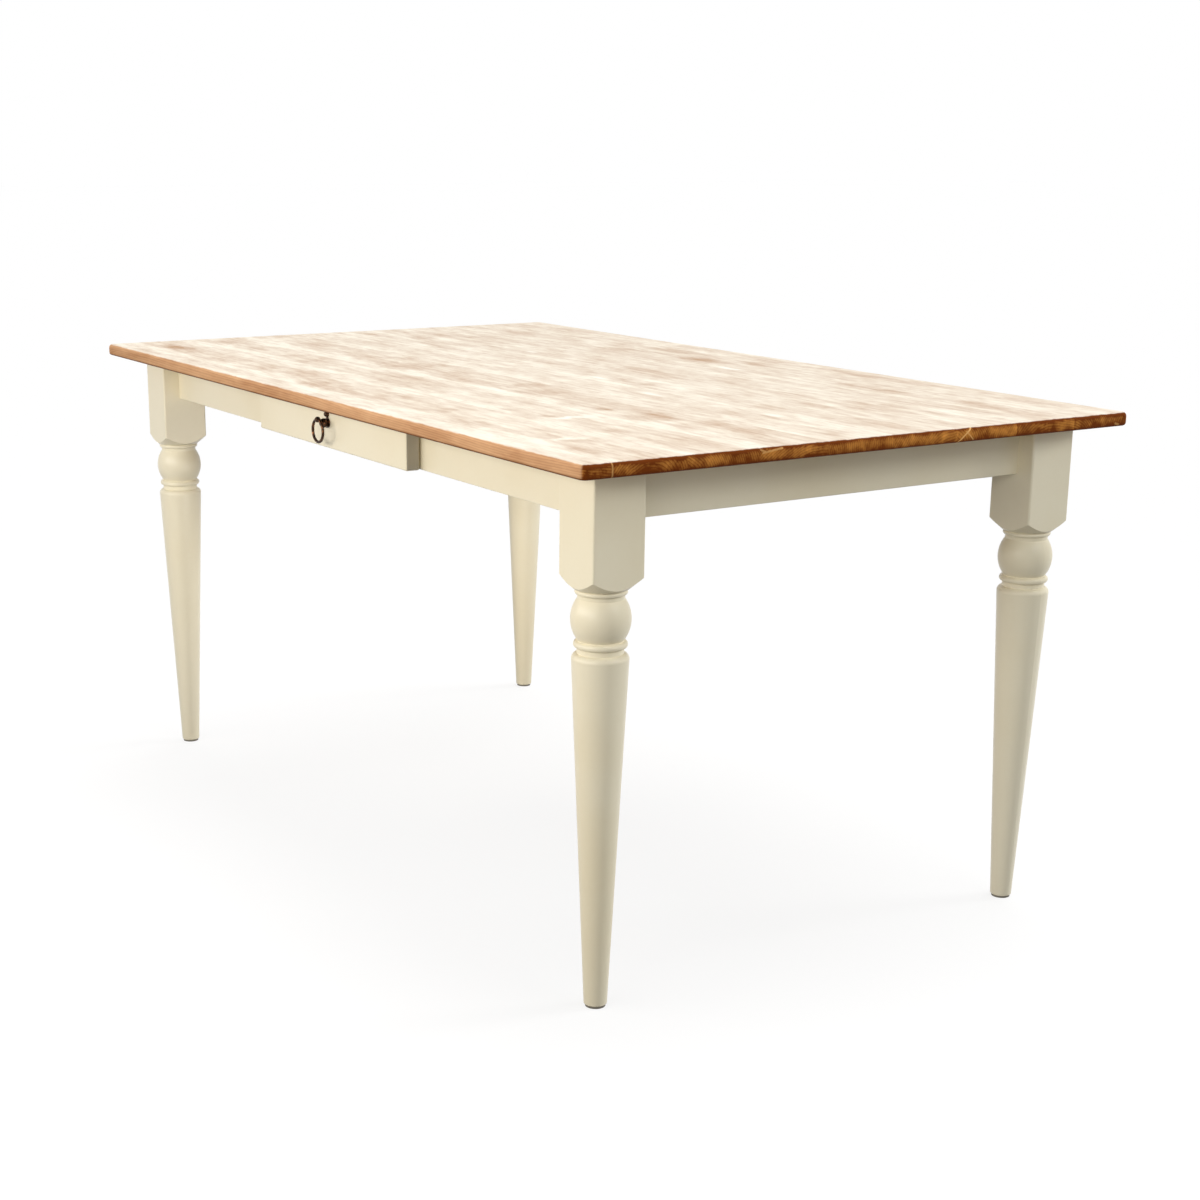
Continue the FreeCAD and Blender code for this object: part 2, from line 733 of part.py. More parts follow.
def make_runners():
    stops = []
    for side, name in ((-1, "left"), (1, "right")):
        label = f"drawer_runner_{name}"
        length = (-apron_inner_y, apron_inner_y)
        tenon_reach = apron_inner_y + s.runner_tenon
        ledge = box(f"{label}_ledge", between(side, opening_half - s.runner_ledge, runner_outer), length,
                    (apron_low, opening_low))
        guide = box(f"{label}_guide", between(side, opening_half, runner_outer), length,
                    (apron_low, guide_high))
        tenons = box(f"{label}_tenons",
                     between(side, opening_half + s.runner_shoulder, runner_outer - s.runner_shoulder),
                     (-tenon_reach, tenon_reach),
                     (apron_low + s.runner_shoulder, guide_high - s.runner_shoulder))
        node(fuse(f"{label}_piece", [ledge, guide, tenons]), label)
        width = between(side, runner_outer - s.kicker_width, runner_outer)
        kicker = box(f"drawer_kicker_{name}_board", width, length, (kicker_low, underside))
        node(cut(f"drawer_kicker_{name}_piece", kicker, [kicker_screw_holes]), f"drawer_kicker_{name}")
        stop_low = box_rear_y + s.running_gap
        stops.append(box(f"drawer_stop_{name}", between(side, opening_half - s.runner_ledge, opening_half),
                         (stop_low, stop_low + s.stop_length), (opening_low, opening_low + s.stop_height)))
    node(group("drawer_stops_pair", stops), "drawer_stops")


# Drawer: a box with tongues in its sides, a bottom in grooves and a front that overlaps the apron

def make_drawer():
    tongue_inset = (s.drawer_wall - s.drawer_tongue) / 2
    tongue_half = box_inner + s.drawer_groove
    bottom_low = box_low + s.drawer_bottom_rise
    bottom_high = bottom_low + s.drawer_bottom
    slot = (bottom_low - s.fit, bottom_high + s.fit)
    height = (box_low, box_high)
    front_depth = s.drawer_front_thickness + s.drawer_wall
    post_hole = cylinder("post_hole", s.post_radius + s.fit, front_depth + s.overrun * 2,
                         ZERO, front_face_y - s.overrun, post_z, Y)
    walls = [
        ("drawer_box_front", front_back_y, height),
        ("drawer_back", box_rear_y - s.drawer_wall, (bottom_high, box_high)),
    ]

    def tongue_span(low, slack):
        return (low + tongue_inset - slack, low + tongue_inset + s.drawer_tongue + slack)

    for label, low, up in walls:
        panel = box(f"{label}_panel", (-box_inner, box_inner), (low, low + s.drawer_wall), up)
        tongues = box(f"{label}_tongues", (-tongue_half, tongue_half), tongue_span(low, ZERO), up)
        piece = fuse(f"{label}_piece", [panel, tongues])
        if label == "drawer_box_front":
            groove = box(f"{label}_groove", (-tongue_half - s.overrun, tongue_half + s.overrun),
                         (box_front_y - s.drawer_groove - s.fit, box_front_y + s.overrun), slot)
            piece = cut(f"{label}_cut", piece, [groove])
            piece = cut(f"{label}_drilled", piece, [post_hole, front_screw_holes])
        node(piece, label)

    for side, name in ((-1, "left"), (1, "right")):
        label = f"drawer_side_{name}"
        depth = between(side, box_inner - s.overrun, box_inner + s.drawer_groove + s.fit)
        board = box(f"{label}_board", between(side, box_inner, box_half), (front_back_y, box_rear_y), height)
        cuts = [box(f"{label}_groove", depth, (front_back_y + tongue_inset, box_rear_y + s.overrun), slot)]
        for wall, low, up in walls:
            room = (up[0] - s.fit, up[1] + s.overrun)
            cuts.append(box(f"{label}_{wall}_dado", depth, tongue_span(low, s.fit), room))
        node(cut(f"{label}_piece", board, [fuse(f"{label}_room", cuts)]), label)

    node(box("drawer_bottom_panel", (-tongue_half, tongue_half), (box_front_y - s.drawer_groove, box_rear_y),
             (bottom_low, bottom_high)), "drawer_bottom")

    half = opening_half + s.drawer_front_lap
    board = eased_board("drawer_front_board", (-half, half), (front_face_y, front_back_y),
                        (apron_low, underside - s.drawer_top_gap), s.drawer_front_ease, lambda edge: True)
    node(cut("drawer_front_piece", board, [post_hole, front_screw_holes]), "drawer_front")


# Ring pull

def make_pull():
    plate = doc.addObject("PartDesign::Body", "pull_plate_body")
    rosette, finial, neck = s.plate_radius, s.finial_radius, s.plate_neck
    finial_z = rosette + s.finial_gap + finial
    neck_high = finial_z - root(finial * finial - neck * neck)
    neck_low = root(rosette * rosette - neck * neck)
    pad(plate, outline(plate, "pull_plate_outline", "XZ_Plane", [
        (neck, neck_low),
        (neck, neck_high, (finial, ZERO, finial_z)),
        (-neck, neck_high),
        (-neck, neck_low, (rosette, ZERO, ZERO)),
    ]), s.plate_thickness)
    place(plate, ZERO, front_face_y, post_z)
    knob = doc.addObject("Part::Sphere", "pull_finial_ball")
    knob.setExpression("Radius", finial.text)
    knob.Angle1 = 0
    place(knob, ZERO, front_face_y - s.plate_thickness, post_z + finial_z, pointing(-Y))
    hole = cylinder("plate_hole", s.post_radius + s.fit, s.plate_thickness + s.overrun * 2,
                    ZERO, front_face_y + s.overrun, post_z, -Y)
    node(cut("pull_plate_drilled", fuse("pull_plate_blank", [plate, knob]), [hole]), "pull_backplate")

    # A round boss on the plate, and a stem that slants up from it to the eye.
    post = doc.addObject("PartDesign::Body", "pull_post_body")
    boss, boss_middle = s.boss_radius, s.boss_reach
    sunk = boss_middle - s.plate_thickness
    thread = s.drawer_front_thickness + s.drawer_wall
    tail = thread + s.pull_washer_thickness + s.pull_nut_height + s.post_stub
    turned(post, outline(post, "pull_post_profile", "XZ_Plane", [
        (ZERO, -tail),
        (s.post_radius, -tail),
        (s.post_radius, s.plate_thickness),
        (root(boss * boss - sunk * sunk), s.plate_thickness, (boss, ZERO, boss_middle)),
        (ZERO, boss_middle + boss),
    ]))
    place(post, ZERO, front_face_y, post_z, pointing(-Y))
    eye_y = front_face_y - s.eye_reach
    eye_z = post_z + s.eye_rise
    run = s.eye_reach - boss_middle
    stem = cylinder("pull_stem", s.stem_radius, root(run * run + s.eye_rise * s.eye_rise),
                    ZERO, front_face_y - boss_middle, post_z, Z * s.eye_rise.value - Y * run.value)
    ball = doc.addObject("Part::Sphere", "pull_eye_ball")
    ball.setExpression("Radius", s.eye_radius.text)
    place(ball, ZERO, eye_y, eye_z)
    eye_hole = s.ring_wire + s.eye_slack
    eye_bore = cylinder("eye_bore", eye_hole, s.eye_radius * 4, -s.eye_radius * 2, eye_y, eye_z, X)
    node(cut("pull_post_bored", fuse("pull_post_blank", [post, stem, ball]), [eye_bore]), "pull_post")

    washer_y = box_front_y + s.pull_washer_thickness
    bore = cylinder("pull_nut_bore", s.post_radius + s.fit / 2, tail, ZERO, front_back_y, post_z, Y)
    disc = cylinder("pull_washer_disc", s.pull_washer_radius, s.pull_washer_thickness,
                    ZERO, box_front_y, post_z, Y)
    node(cut("pull_washer_ring", disc, [bore]), "pull_washer")
    hexagon = doc.addObject("Part::Prism", "pull_nut_hexagon")
    hexagon.Polygon = 6
    hexagon.setExpression("Circumradius", s.pull_nut_radius.text)
    hexagon.setExpression("Height", s.pull_nut_height.text)
    place(hexagon, ZERO, washer_y, post_z, pointing(Y))
    node(cut("pull_nut_ring", hexagon, [bore]), "pull_nut")

    # The wire bends inside the eye, so the ring sits half of that bend above the eye's axis.
    mouth = root(s.eye_radius * s.eye_radius - eye_hole * eye_hole)
    rise = (s.ring_radius - root(s.ring_radius * s.ring_radius - mouth * mouth)) / 2
    ring = doc.addObject("Part::Torus", "pull_ring_torus")
    ring.setExpression("Radius1", s.ring_radius.text)
    ring.setExpression("Radius2", s.ring_wire.text)
    place(ring, ZERO, eye_y, eye_z + rise - s.ring_radius, pointing(Y))
    node(ring, "pull_ring")


make_top()
for corner, side_x, side_y, turn in CORNERS:
    make_leg(corner, leg_x * side_x, leg_y * side_y, turn)
    make_corner_block(corner, leg_x * side_x, leg_y * side_y, turn)
make_glides()
make_bolts()
make_front_apron()
make_back_apron()
make_end_aprons()
make_buttons()
make_runners()
make_drawer()
make_pull()
doc.recompute()

failed = [thing.Label for thing in doc.Objects if {"Invalid", "Error"} & set(thing.State)]
failed += [thing.Label for thing in nodes if thing.Shape.isNull() or not thing.Shape.isValid()]
if failed:
    raise RuntimeError(f"not built: {failed}")
os.makedirs("parts", exist_ok=True)
for thing in nodes:
    thing.Shape.exportStep(f"parts/{thing.Label}.step")
    print(thing.Label, len(thing.Shape.Solids), round(thing.Shape.Volume))
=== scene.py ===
"""Looks of a dining table: a pine top with a pale wash and painted sheen above, brown edges, a cream painted
base and a dark ring pull.
"""
import json
import math
from collections import namedtuple

import bpy
from mathutils import Matrix, Vector


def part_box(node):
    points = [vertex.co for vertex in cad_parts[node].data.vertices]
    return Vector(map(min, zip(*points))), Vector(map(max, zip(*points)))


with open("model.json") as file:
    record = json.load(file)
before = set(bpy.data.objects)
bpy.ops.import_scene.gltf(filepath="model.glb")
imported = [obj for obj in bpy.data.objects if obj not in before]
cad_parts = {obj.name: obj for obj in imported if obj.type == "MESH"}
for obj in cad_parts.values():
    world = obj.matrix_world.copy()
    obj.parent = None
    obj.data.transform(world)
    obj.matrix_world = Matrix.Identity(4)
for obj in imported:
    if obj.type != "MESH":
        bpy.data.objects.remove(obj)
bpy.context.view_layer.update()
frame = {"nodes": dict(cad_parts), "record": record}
nodes = frame["nodes"]
slot_of = {part["node"]: part["material_slot"] for part in frame["record"]["subparts"]}


def colour(red, green, blue):
    """A colour in the 0 to 255 steps of a picture, as the linear values that a shader takes."""
    def linear(step):
        share = step / 255
        return share / 12.92 if share <= 0.04045 else ((share + 0.055) / 1.055) ** 2.4
    return (linear(red), linear(green), linear(blue), 1.0)


WHITE = (1.0, 1.0, 1.0, 1.0)
NOISE_MIDDLE = 0.5


class Shade:
    """The node tree of one material, with short calls for the nodes that the materials share."""

    def __init__(self, name):
        self.material = bpy.data.materials.new(name)
        self.material.use_nodes = True
        self.tree = self.material.node_tree
        self.surface = self.tree.nodes["Principled BSDF"]
        place = self.add("ShaderNodeTexCoord")
        self.point = place.outputs["Object"]
        self.normal = place.outputs["Normal"]

    def add(self, kind, values=(), **settings):
        """A node with its settings, and with numbers or links on its inputs."""
        node = self.tree.nodes.new(kind)
        for name, value in settings.items():
            setattr(node, name, value)
        for socket, value in dict(values).items():
            self.set(node.inputs[socket], value)
        return node

    def set(self, socket, value):
        if isinstance(value, bpy.types.NodeSocket):
            self.tree.links.new(value, socket)
        else:
            socket.default_value = value

    def finish(self, values):
        """Set the surface's own inputs."""
        for name, value in values.items():
            self.set(self.surface.inputs[name], value)
        return self.material

    def math(self, operation, *values):
        return self.add("ShaderNodeMath", enumerate(values), operation=operation).outputs[0]

    def vector(self, operation, *values):
        node = self.add("ShaderNodeVectorMath", enumerate(values), operation=operation)
        return node.outputs["Value" if operation in ("LENGTH", "DOT_PRODUCT") else "Vector"]

    def parts(self, vector):
        return self.add("ShaderNodeSeparateXYZ", {0: vector}).outputs

    def step(self, value, low, high, start=0.0, end=1.0):
        """A smooth change from start to end as the value goes from low to high."""
        ends = {0: value, 1: low, 2: high, 3: start, 4: end}
        return self.add("ShaderNodeMapRange", ends, interpolation_type="SMOOTHSTEP").outputs[0]

    def vary(self, total, noise, weight):
        """The total, more or less by the weight as the noise lies above or below its middle."""
        return self.math("MULTIPLY_ADD", self.math("SUBTRACT", noise, NOISE_MIDDLE), weight, total)

    def mix(self, share, first, second):
        ends = {0: share, 6: first, 7: second}
        return self.add("ShaderNodeMix", ends, data_type="RGBA").outputs[2]

    def noise(self, point, per_metre, shift=(0, 0, 0), detail=2.0, roughness=0.5, whole=False):
        """Noise with so many blotches in a metre along each axis. The whole noise has three parts."""
        spread = self.vector("MULTIPLY_ADD", point, per_metre, shift)
        values = {"Vector": spread, "Scale": 1.0, "Detail": detail, "Roughness": roughness}
        node = self.add("ShaderNodeTexNoise", values)
        return node.outputs["Color" if whole else "Fac"]

    def bump(self, height, depth, strength):
        """A normal that is raised by the depth, in metres, where the height is one."""
        values = {"Height": height, "Distance": depth, "Strength": strength}
        return self.add("ShaderNodeBump", values).outputs["Normal"]


# Pine: growth rings about a pith that wanders along the board, bent round its dark marks

MILLI = 0.001
RING = 0.0034            # metres from one growth ring to the next
MARK_RINGS = 1.6         # rings that a dark mark pushes aside
RIPPLE_RINGS = 1.1       # rings by which the ripple bends the grain
LATE_START, LATE_PEAK = 0.45, 0.88   # shares of a ring where the dark late wood begins, and is darkest
WANDER = 0.045           # metres that the pith wanders
FRAY = (0.060, 0.026, 0.0)           # metres by which a mark's outline is frayed
FRAY_MIDDLE = (30, 13)               # the middle of the fray along X and Y, in millimetres
SWAY = (0.0, 0.016, 0.016)           # metres by which the streaks sway
SEED_SHIFT = (3.1, 1.7, 2.3)         # how far apart the noises of two boards lie
# Blotches in a metre along X, Y and Z
WANDER_COUNT, RIPPLE_COUNT, FRAY_COUNT = (1.3, 7, 7), (5, 60, 60), (16, 42, 42)
BLOTCH_COUNT, FLECK_COUNT = (8, 26, 26), (40, 75, 75)
FIBRE_COUNT, STREAK_COUNT = (18, 1100, 1100), (13, 105, 105)
ROUGH_NOISE = 0.6

Grain = namedtuple("Grain", "late marks blotch fleck fibre streak")


def soft_marks(shade, point, marks):
    """How far a point lies in the marks, whose outlines are frayed already."""
    total = 0.0
    for place_x, place_y, length, width, depth in marks:
        per_size = (1 / (length * MILLI), 1 / (width * MILLI), 0)
        centre = (-(place_x + FRAY_MIDDLE[0]) / length, -(place_y + FRAY_MIDDLE[1]) / width, 0)
        apart = shade.vector("MULTIPLY_ADD", point, per_size, centre)
        apart = shade.vector("DOT_PRODUCT", apart, apart)
        near = shade.math("EXPONENT", shade.math("MULTIPLY", apart, -1.0))
        total = shade.math("MULTIPLY_ADD", near, depth, total)
    return total


def pine_grain(shade, point, pith, climb, seed, marks=()):
    """Grain along X. The pith is a place in Y and Z, and climbs along X. A mark is a soft patch, given by
    its x, y, half length and half width in millimetres, and its depth, which is below zero if it is a pale
    painted glint."""
    shift = tuple(seed * step for step in SEED_SHIFT)
    wander = shade.parts(shade.noise(point, WANDER_COUNT, shift, detail=1.0, whole=True))
    x, y, z = shade.parts(point)
    aside = shade.math("MULTIPLY_ADD", wander[0], WANDER, shade.math("SUBTRACT", y, pith[0]))
    rise = shade.math("MULTIPLY_ADD", wander[1], WANDER, shade.math("SUBTRACT", z, pith[1]))
    rise = shade.math("MULTIPLY_ADD", x, climb, rise)
    squares = shade.math("MULTIPLY_ADD", rise, rise, shade.math("MULTIPLY", aside, aside))
    reach = shade.math("SQRT", squares)

    ripple = shade.noise(point, RIPPLE_COUNT, shift, detail=3.0)
    rings = shade.math("MULTIPLY_ADD", ripple, RIPPLE_RINGS, shade.math("DIVIDE", reach, RING))
    fray = shade.noise(point, FRAY_COUNT, shift, detail=3.0, whole=True)
    total = soft_marks(shade, shade.vector("MULTIPLY_ADD", fray, FRAY, point), marks)
    if marks:
        rings = shade.math("MULTIPLY_ADD", total, MARK_RINGS, rings)
    turn = shade.math("FRACT", rings)
    late = shade.math("MULTIPLY", shade.step(turn, LATE_START, LATE_PEAK), shade.step(turn, 1.0, LATE_PEAK))
    sway = shade.vector("MULTIPLY_ADD", fray, SWAY, point)
    blotch = shade.noise(sway, BLOTCH_COUNT, shift, detail=4.0, roughness=ROUGH_NOISE)
    fleck = shade.noise(sway, FLECK_COUNT, shift, detail=3.0, roughness=ROUGH_NOISE)
    fibre = shade.noise(point, FIBRE_COUNT, shift)
    streak = shade.noise(sway, STREAK_COUNT, shift, detail=3.0, roughness=ROUGH_NOISE)
    return Grain(late, total, blotch, fleck, fibre, streak)


# Top: a pale wash with painted sheen on its upper face, brown on its edges, with end grain on its ends

Board = namedtuple("Board", "pith climb heart sap end marks")
# The pith is (aside, depth) in metres from the middle of the board's upper face. Heart is how much
# darker the board's middle is, sap how much of that its front and back sides lose, and end how much
# darker its end grain is than the middle boards'.
BOARDS = {
    "top_edge_strip": Board((0.00, -0.16), 0.010, 0.05, (0.0, 1.0), 0.18, [
        (-640, -455, 90, 14, 0.8), (-240, -450, 120, 14, 0.6), (530, -437, 30, 9, -0.5)]),
    "top_board_1": Board((0.02, -0.05), -0.022, 0.28, (1.0, 0.9), 0.22, [
        (-680, -385, 75, 25, 1.0), (-320, -380, 42, 26, 0.7), (-200, -350, 60, 28, 0.6),
        (-60, -400, 65, 24, 0.7), (130, -390, 26, 24, 0.5), (300, -375, 20, 36, 0.6),
        (590, -385, 15, 24, 0.5), (640, -365, 26, 28, 0.6), (612, -375, 14, 30, -0.8)]),
    "top_board_2": Board((-0.09, -0.04), 0.018, 0.26, (1.0, 1.1), 0.20, [
        (-720, -270, 34, 20, 0.9), (-450, -260, 22, 28, 0.6), (-390, -230, 22, 10, 0.5),
        (-60, -255, 65, 36, 0.5), (115, -300, 30, 10, 0.4), (420, -285, 14, 14, 0.8),
        (590, -280, 22, 18, 0.7), (710, -250, 46, 34, 0.6), (450, -265, 13, 34, -0.9)]),
    "top_board_3": Board((0.07, -0.06), 0.026, 0.34, (1.1, 0.3), 0.18, [
        (-585, -145, 45, 28, 0.6), (-210, -145, 55, 36, 0.4), (110, -130, 20, 28, 0.6),
        (200, -140, 30, 26, 0.7), (180, -175, 22, 10, 0.7), (400, -170, 14, 12, 1.0),
        (470, -150, 90, 28, 0.4), (600, -125, 30, 20, 0.8), (680, -125, 50, 18, 0.6),
        (560, -165, 16, 18, -0.6), (130, -195, 60, 9, -0.6)]),
    "top_board_4": Board((-0.12, -0.03), -0.012, 0.15, (0.2, 1.4), 0.14, [
        (590, -15, 26, 6, 0.8), (740, -45, 34, 24, 0.6), (300, -15, 40, 8, -0.8),
        (580, 0, 26, 7, -0.7), (720, -85, 26, 8, -0.6), (-330, 0, 120, 12, -0.4)]),
    "top_board_5": Board((0.10, -0.05), 0.024, 0.22, (0.5, 0.1), 0.06, [
        (-720, 50, 45, 24, 0.5), (-640, 90, 46, 20, 0.7), (-390, 115, 34, 20, 0.4),
        (120, 60, 30, 24, 0.7), (190, 50, 20, 20, 0.7), (130, 120, 30, 10, 0.7),
        (365, 120, 32, 18, 0.7), (500, 50, 32, 22, 0.4), (80, 30, 36, 9, -0.8),
        (175, 85, 24, 9, -0.6), (-690, 65, 36, 8, -0.5)]),
    "top_board_6": Board((-0.06, -0.05), -0.020, 0.26, (0.1, 0.4), 0.0, [
        (-660, 155, 46, 28, 0.6), (-585, 200, 34, 24, 0.7), (80, 150, 80, 30, 0.7),
        (540, 190, 26, 18, 0.8), (-305, 140, 26, 12, -0.6), (570, 180, 22, 8, -0.5),
        (680, 240, 36, 7, -0.5), (-630, 205, 34, 8, -0.5)]),
    "top_board_7": Board((0.05, -0.04), 0.021, 0.30, (0.4, 0.3), 0.18, [
        (-590, 285, 42, 28, 0.7), (-50, 340, 65, 26, 0.7), (360, 330, 38, 26, 0.8),
        (450, 330, 42, 22, 0.8), (610, 345, 20, 18, 0.8), (660, 340, 26, 18, 0.7),
        (740, 335, 40, 26, 0.5), (80, 300, 44, 8, -0.9), (-450, 300, 44, 9, -0.4)]),
    "top_board_8": Board((-0.05, -0.06), -0.024, 0.28, (0.1, 0.6), 0.38, [
        (-460, 370, 34, 18, 0.7), (-335, 368, 34, 24, 0.8), (-200, 385, 58, 26, 0.8),
        (50, 385, 48, 18, 0.6), (260, 430, 34, 10, 0.8), (310, 440, 44, 10, 0.8),
        (-130, 415, 44, 9, -0.5), (390, 415, 60, 12, -0.4)]),
}
# The palest top colour is a pale wash with painted sheen in it; the scuff colour is a painted glint.
WASH_AND_SHEEN_PALE, WASH_DARK, PAINTED_GLINT = colour(253, 245, 229), colour(189, 153, 121), colour(255, 250, 242)
# The third edge colour is painted shade, where the edges round under and face down.
EDGE_PALE, EDGE_DARK, EDGE_PAINTED_SHADE = colour(220, 175, 133), colour(156, 103, 65), colour(104, 56, 20)
END_PALE, END_DARK, END_MARK = colour(232, 158, 74), colour(110, 52, 11), colour(240, 188, 118)
UNDER_PALE, UNDER_DARK = colour(212, 178, 134), colour(176, 132, 88)
GRAIN_DEPTH, GRAIN_BUMP = 0.00025, 0.5
TONE_START = 0.16        # tone of the palest wood before its grain is added
HEART_SHARE = 0.65       # share of a board's heart that shows through the wash
BLOTCH_TONE, FLECK_TONE, STREAK_TONE, FIBRE_TONE = 1.3, 0.55, 0.75, 0.14
LATE_TONE, MARK_TONE, SEAM_TONE = 0.06, 0.42, 0.14
GLINT_START, GLINT_FULL = -0.25, -1.0      # depths of a pale mark where its painted glint begins, and is full
SIDE_SWAY = 0.05                           # metres by which the line between heart and sap sways
SIDE_START_SHARE, SIDE_FULL_SHARE = 0.5, 0.9   # shares of half a board where its sap begins, and is full
SEAM_WIDE, SEAM_FINE = 0.0012, 0.0002      # metres from a board's side where its seam begins, and is darkest
EDGE_LATE, EDGE_STREAK, EDGE_FIBRE, EDGE_BLOTCH = 0.25, 0.6, 0.3, 0.9
SHADE_LOW_SHARE, SHADE_LOW_DEPTH = 0.4, 0.5            # share of the thickness above which an end takes painted shade toward its lower edge, and how much
# The last of these darkens the ends at their rounded arrises and low down: darker stain there, and painted
# shade
END_START, END_BLOTCH, END_FLECK, END_RIM_STAIN_AND_SHADE = 0.1, 1.6, 0.9, 0.8
WASH_AND_SHEEN_RAGGED = 0.3                          # how ragged the wash and its painted sheen end on the rounded edge
MARK_SOFT, MARK_FIRM = 1.6, 0.6            # half widths at which an end mark fades out, and is full
MARKED_END = (0.0, 0.1)                    # along X, where the marks of the end begin, and are full
# How far the surface faces up, down or along the table where one finish gives way to the next. Below the
# lower facing the edges take painted shade; above the upper facing the top takes the wash with its painted
# sheen
SHADED_LOWER_FACING, UNDER_FACING, UPPER_FACING = (-0.1, -0.8), (-0.90, -0.99), (0.80, 0.97)
END_FACING, SHEEN_FACING = (0.45, 0.75), (0.75, 0.97)
LEAST_LEVEL = 0.01                         # keeps the division from reaching zero
STREAK_ENDS = (0.2, 0.8)
TOP_ROUGHNESS, TOP_SPECULAR = (0.54, 0.66), (0.06, 0.18)
FIBRE_HEIGHT, LATE_HEIGHT = 0.5, 0.7
# Pale lines on the end at the photograph's right: from (y, z) to (y, z) and the half width, in
# millimetres, and how pale the line is
END_MARKS = {
    "top_board_1": [((-431, 738), (-431, 758), 1.2, 0.45)],
    "top_board_3": [((-200, 753), (-168, 757), 1.1, 0.45), ((-203, 757), (-195, 754), 1.1, 0.4)],
    "top_board_6": [((137, 740), (162, 759), 0.9, 0.9), ((153, 755), (166, 743), 0.8, 0.6)],
    "top_board_8": [((446, 745), (453, 743), 1.5, 0.4)],
}


def end_marks(shade, name):
    """How pale the end is, where one of its pale lines runs."""
    point = shade.vector("MULTIPLY", shade.point, (0, 1 / MILLI, 1 / MILLI))
    total = 0.0
    for (start_y, start_z), (stop_y, stop_z), half, pale in END_MARKS[name]:
        line = Vector((0, stop_y - start_y, stop_z - start_z))
        reach = shade.vector("SUBTRACT", point, (0, start_y, start_z))
        share = shade.vector("DOT_PRODUCT", reach, tuple(line / line.length_squared))
        share = shade.math("MINIMUM", shade.math("MAXIMUM", share, 0.0), 1.0)
        along = {0: tuple(line), "Scale": share}
        foot = shade.add("ShaderNodeVectorMath", along, operation="SCALE").outputs[0]
        apart = shade.vector("LENGTH", shade.vector("SUBTRACT", reach, foot))
        line_share = shade.step(apart, half * MARK_SOFT, half * MARK_FIRM, 0.0, pale)
        total = shade.math("MAXIMUM", line_share, total)
    return total


def wash_and_sheen_face(shade, board, grain, across, half):
    """The colour of a board's upper face: a pale wash, whose palest colour also holds painted sheen."""
    swayed = shade.vary(across, grain.blotch, SIDE_SWAY)
    begin, full = half * SIDE_START_SHARE, half * SIDE_FULL_SHARE
    front_side = shade.step(swayed, -begin, -full, 0.0, board.sap[0])
    back_side = shade.step(swayed, begin, full, 0.0, board.sap[1])
    middle_share = shade.math("SUBTRACT", shade.math("SUBTRACT", 1.0, front_side), back_side)
    seam = shade.step(shade.math("ABSOLUTE", across), half - SEAM_WIDE, half - SEAM_FINE)
    tone = shade.math("MULTIPLY_ADD", middle_share, board.heart * HEART_SHARE, TONE_START)
    tone = shade.vary(tone, grain.blotch, BLOTCH_TONE)
    tone = shade.vary(tone, grain.fleck, FLECK_TONE)
    tone = shade.vary(tone, grain.streak, STREAK_TONE)
    tone = shade.vary(tone, grain.fibre, FIBRE_TONE)
    tone = shade.math("MULTIPLY_ADD", grain.late, LATE_TONE, tone)
    tone = shade.math("MULTIPLY_ADD", grain.marks, MARK_TONE, tone)
    tone = shade.math("MULTIPLY_ADD", seam, SEAM_TONE, tone)
    wash_and_sheen = shade.mix(tone, WASH_AND_SHEEN_PALE, WASH_DARK)
    # Pale marks take a painted glint.
    return shade.mix(shade.step(grain.marks, GLINT_START, GLINT_FULL), wash_and_sheen, PAINTED_GLINT)


def end_face(shade, name, board, grain, dark, rim_stain_and_shade, x):
    """The colour of a board's two ends. The rim is how near a point is to the upper or lower edge, where the
    ends darken with stain near the arrises and with painted shade.
    """
    patch = shade.vary(board.end + END_START, grain.blotch, END_BLOTCH)
    patch = shade.vary(patch, grain.fleck, END_FLECK)
    patch = shade.math("MULTIPLY_ADD", rim_stain_and_shade, END_RIM_STAIN_AND_SHADE, patch)
    end = shade.mix(shade.math("ADD", dark, patch), END_PALE, END_DARK)
    if name in END_MARKS:
        shown = shade.math("MULTIPLY", end_marks(shade, name), shade.step(x, *MARKED_END))
        end = shade.mix(shown, end, END_MARK)
    return end


